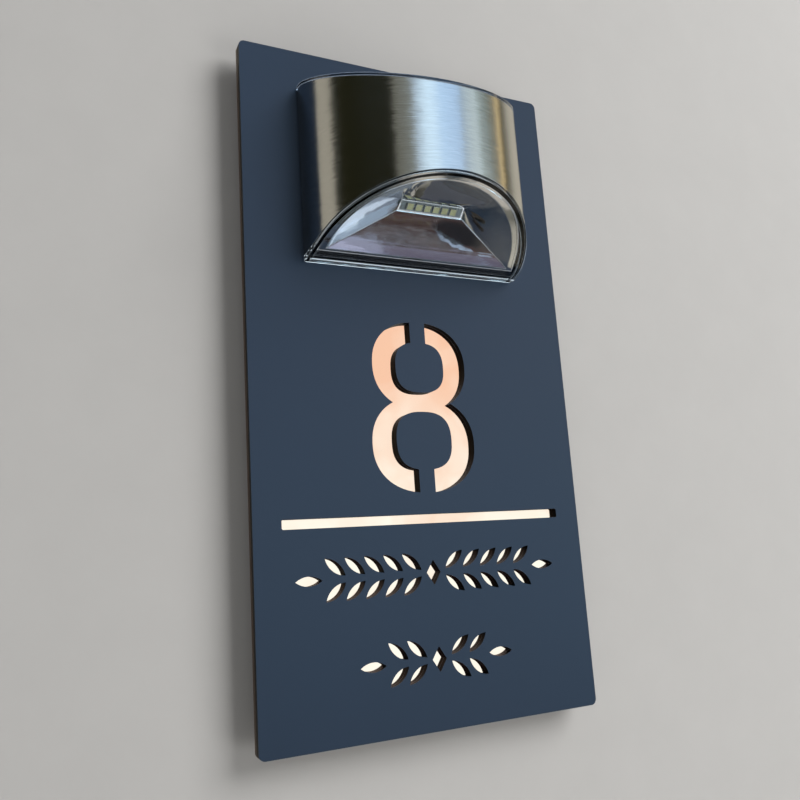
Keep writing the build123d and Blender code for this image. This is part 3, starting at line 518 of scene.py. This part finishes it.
def makeWallFinish():
    # pale to the eye, and in the bright metal's reflections a warm strip that ends on both sides
    material, tree, shader = newMaterial("paleWall", Roughness=0.85, Specular_IOR_Level=0.2)
    place = addNode(tree, "ShaderNodeSeparateXYZ", {0: objectPlace(tree)}).outputs
    across = place[0]  # 0 across, 2 height
    left, right = studio["wallSpan"]
    ended = addMath(tree, "MAXIMUM", spread(tree, across, *left), addMath(
        tree, "MULTIPLY", spread(tree, across, *right), studio["wallRight"]))
    # low down on the right it lies in shade
    slope = addMath(tree, "ADD", place[2], addMath(tree, "MULTIPLY", across, studio["wallSlope"]))
    foot = addMath(tree, "SUBTRACT", 1.0, spread(tree, slope, *studio["wallFoot"]))
    ended = addMath(tree, "MAXIMUM", ended, addMath(tree, "MULTIPLY", foot, spread(tree, across, 0.0, 0.05)))
    glint = mixColours(tree, ended, studio["wallGlint"], studio["wallEnd"])
    under = addMath(tree, "MULTIPLY", spread(tree, slope, *studio["wallUnder"]),
                    spread(tree, place[2], *studio["wallLow"]))
    glint = mixColours(tree, under, glint, studio["wallShade"])
    mirrored = tree.nodes.new("ShaderNodeLightPath").outputs["Is Glossy Ray"]
    colour = mixColours(tree, mirrored, studio["wallColour"], glint)
    grain = useGroup(material, surfaceGrain, {"Colour": colour, "Roughness": 0.85,
                                              "Grain Size": 0.004, "Grain Depth": 0.1, "Shade Change": 0.08,
                                              "Gloss Change": 0.05})
    joinUp(material, shader, grain, ("Colour", "Roughness"))
    # seen from behind, the wall isn't there, and it lets the rear lamp through
    behind = addMath(tree, "MAXIMUM", tree.nodes.new("ShaderNodeNewGeometry").outputs["Backfacing"],
                     tree.nodes.new("ShaderNodeLightPath").outputs["Is Shadow Ray"])
    through = tree.nodes.new("ShaderNodeBsdfTransparent")
    mix = addNode(tree, "ShaderNodeMixShader", {0: behind, 1: shader.outputs[0], 2: through.outputs[0]})
    tree.links.new(mix.outputs[0], tree.nodes["Material Output"].inputs["Surface"])
    return material


def makeFloorFinish():
    # pale to the eye, and warm paving in the bright metal's reflections
    material, tree, shader = newMaterial("paleFloor", Roughness=0.9, Specular_IOR_Level=0.2)
    place = objectPlace(tree)
    bricks = addNode(tree, "ShaderNodeTexBrick", {
        "Vector": place, "Color1": (*studio["pavingColours"][0], 1), "Color2": (*studio["pavingColours"][1], 1),
        "Mortar": (*studio["pavingColours"][2], 1), "Scale": studio["pavingSize"], "Mortar Size": 0.02})
    outward = addNode(tree, "ShaderNodeSeparateXYZ", {0: place}).outputs[1]
    paved = mixColours(tree, spread(tree, outward, *studio["pavingStart"]), studio["nearWall"], bricks.outputs["Color"])
    ripple = addNode(tree, "ShaderNodeTexNoise", {"Vector": place, "Scale": 22.0, "Detail": 4.0})
    for middle, reach, turn, tint in studio["patches"]:
        laid = addNode(tree, "ShaderNodeMapping", {
            0: place, 1: (*middle, 0.0), 2: (0.0, 0.0, math.radians(turn)), 3: (*reach, 1.0)}, vector_type="TEXTURE")
        u, v, _ = addNode(tree, "ShaderNodeSeparateXYZ", {0: laid.outputs[0]}).outputs
        away = addMath(tree, "MAXIMUM", addMath(tree, "ABSOLUTE", u), addMath(tree, "ABSOLUTE", v))
        away = addMath(tree, "ADD", away, addMath(tree, "SUBTRACT", ripple.outputs[0], 0.5))
        paved = mixColours(tree, spread(tree, away, 1.15, 0.75), paved, tint)
    colour = mixColours(tree, bouncedRay(tree), studio["floorColour"], paved)
    tree.links.new(colour, shader.inputs["Base Color"])
    return material


size, drop = studio["size"] / 2, -studio["floorDrop"]
wallBack = 0.0003
makeSheet("wallSheet", [
    (-size, wallBack, drop), (size, wallBack, drop), (size, wallBack, size), (-size, wallBack, size)], makeWallFinish())
makeSheet("floorSheet", [
    (-size, -size, drop), (size, -size, drop), (size, size, drop), (-size, size, drop)], makeFloorFinish())

surroundings = {
    "plain": (0.24, 0.245, 0.25),
    # what polished metal sees level with the lamp and above, by degrees right of straight out
    "bands": [(-180, (0.012, 0.012, 0.004)), (-33, (0.012, 0.012, 0.004)), (-29, (0.18, 0.18, 0.15)),
              (-14, (0.25, 0.27, 0.25)), (-8, (0.60, 0.77, 0.94)), (2, (0.92, 1.24, 1.52)),
              (9, (0.86, 1.16, 1.45)), (14, (0.66, 0.97, 1.36)), (33, (0.54, 0.80, 1.18)),
              (37, (0.33, 0.44, 0.55)), (41, (0.64, 0.80, 0.92)), (44, (0.50, 0.62, 0.68)), (48, (0.72, 0.86, 0.92)),
              (53, (0.58, 0.72, 0.76)), (57, (0.34, 0.42, 0.42)), (66, (0.22, 0.27, 0.25)), (70, (0.18, 0.19, 0.15)),
              (75, (0.24, 0.22, 0.17)), (79, (0.30, 0.27, 0.17)), (81, (1.20, 0.92, 0.48)), (83, (1.20, 0.92, 0.48)),
              (86, (0.06, 0.055, 0.03)), (180, (0.05, 0.05, 0.04))],
    "bright": 1.6,
    "lowSky": ((1.0, 1.0, 0.98), (1.1, 1.7, 2.1)),
    "lowLevel": (0.27, 0.40),
    "lowWidth": (-14, -4, 62, 76),
    "lowHeights": (0.25, -0.02),
    "cloudScale": 15.0,
    "cloudAmount": 1.6,
    "overhead": (0.75, 0.90, 1.10),
    "overheadLevel": (0.80, 0.93),
}


def makeWorld():
    world = bpy.data.worlds.new("studioWorld")
    bpy.context.scene.world = world
    world.use_nodes = True
    tree = world.node_tree
    outward = tree.nodes.new("ShaderNodeTexCoord").outputs["Generated"]
    x, y, z = addNode(tree, "ShaderNodeSeparateXYZ", {0: outward}).outputs
    turn = addMath(tree, "ARCTAN2", x, addMath(tree, "MULTIPLY", y, -1.0))
    bands = surroundings["bands"]
    top = surroundings["bright"]
    upper = ramp(tree, spread(tree, turn, -math.pi, math.pi), [
        ((degrees + 180) / 360, tuple(c / top for c in colour)) for degrees, colour in bands])
    upper = mixColours(tree, 1.0, upper, (top, top, top), "MULTIPLY")
    clouds = addNode(tree, "ShaderNodeTexNoise", {
        "Vector": outward, "Scale": surroundings["cloudScale"], "Detail": 3.0})
    lowness = addMath(tree, "ADD", spread(tree, z, *surroundings["lowHeights"]), addMath(tree, "MULTIPLY", addMath(
        tree, "SUBTRACT", clouds.outputs[0], 0.5), surroundings["cloudAmount"]), clamp=True)
    left, leftEnd, rightEnd, right = (math.radians(degrees) for degrees in surroundings["lowWidth"])
    ahead = addMath(tree, "MULTIPLY", spread(tree, turn, left, leftEnd), spread(tree, turn, right, rightEnd))
    lower = mixColours(tree, ahead, upper, mixColours(tree, lowness, *surroundings["lowSky"]))
    level = addNode(tree, "ShaderNodeMapRange", {
        0: z, 1: surroundings["lowLevel"][0], 2: surroundings["lowLevel"][1]}, interpolation_type="SMOOTHSTEP")
    seen = mixColours(tree, level.outputs[0], lower, upper)
    seen = mixColours(tree, spread(tree, z, *surroundings["overheadLevel"]), seen, surroundings["overhead"])
    colour = mixColours(tree, bouncedRay(tree), surroundings["plain"], seen)
    background = tree.nodes["Background"]
    tree.links.new(colour, background.inputs["Color"])


def makeSoftLamp(name, place, aim, width, watts, glossy=False):
    lamp = bpy.data.lights.new(name, "AREA")
    lamp.size = width
    lamp.energy = watts
    holder = bpy.data.objects.new(name, lamp)
    holder.location = place
    holder.rotation_euler = (Vector(aim) - Vector(place)).to_track_quat("-Z", "Y").to_euler()
    holder.visible_glossy = glossy
    holder.visible_transmission = glossy
    holder.visible_camera = False
    bpy.context.scene.collection.objects.link(holder)


lamps = {
    "keyLamp": {"place": (1.25, -1.5, 1.1), "width": 1.5, "watts": 46.0},
    "lowLamp": {"place": (0.7, -1.0, -0.75), "width": 0.8, "watts": 5.0},
    "rearLamp": {"place": (-0.8, 1.6, 0.9), "width": 1.0, "watts": 45.0},
}
makeWorld()
for name, lamp in lamps.items():
    makeSoftLamp(name, lamp["place"], (0, 0, 0), lamp["width"], lamp["watts"])

camera = {"lens": 36.05, "place": (-0.1839, -0.36775, -0.0877), "turn": 25.95, "tilt": 10.87, "roll": -3.70}
lens = bpy.data.cameras.new("photoCamera")
lens.lens = camera["lens"]
lens.clip_start = 0.01
viewer = bpy.data.objects.new("photoCamera", lens)
aimed = Euler((math.radians(90 + camera["tilt"]), 0, math.radians(-camera["turn"]))).to_matrix()
aimed = aimed @ Matrix.Rotation(math.radians(camera["roll"]), 3, "Z")
viewer.matrix_world = Matrix.Translation(camera["place"]) @ aimed.to_4x4()
bpy.context.scene.collection.objects.link(viewer)
bpy.context.scene.camera = viewer
bpy.context.scene.view_settings.view_transform = "Standard"
print("studio and camera set")
